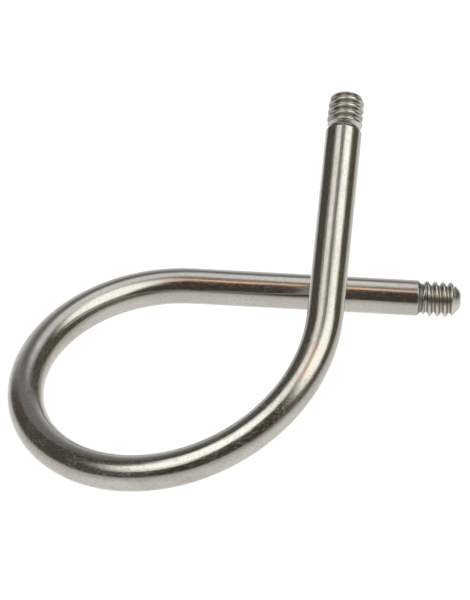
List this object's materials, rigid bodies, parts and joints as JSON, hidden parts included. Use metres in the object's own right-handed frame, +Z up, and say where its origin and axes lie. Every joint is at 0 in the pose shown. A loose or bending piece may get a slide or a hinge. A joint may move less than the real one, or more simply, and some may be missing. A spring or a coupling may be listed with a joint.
{
  "type": "looped threaded barbell stem",
  "caption": "Body-jewellery stem bent from polished steel wire: an open spiral loop between straight legs that end in short external screw threads, shown lying at rest.",
  "frame": {"origin": "bottom centre of the stem's bounding box, as it lies at rest on a surface", "axes": "+X runs the way the lower leg points, as seen from above, +Z is up, and -Y is the front, where the loop is nearest to the viewer"},
  "size_m": [0.0202, 0.0164, 0.0123],
  "materials": {
    "steel": "bare surgical steel, mirror polished on the wire and as cut on the threads; no plating"
  },
  "bodies": {
    "root": {"stem": "steel"}
  },
  "joints": []
}
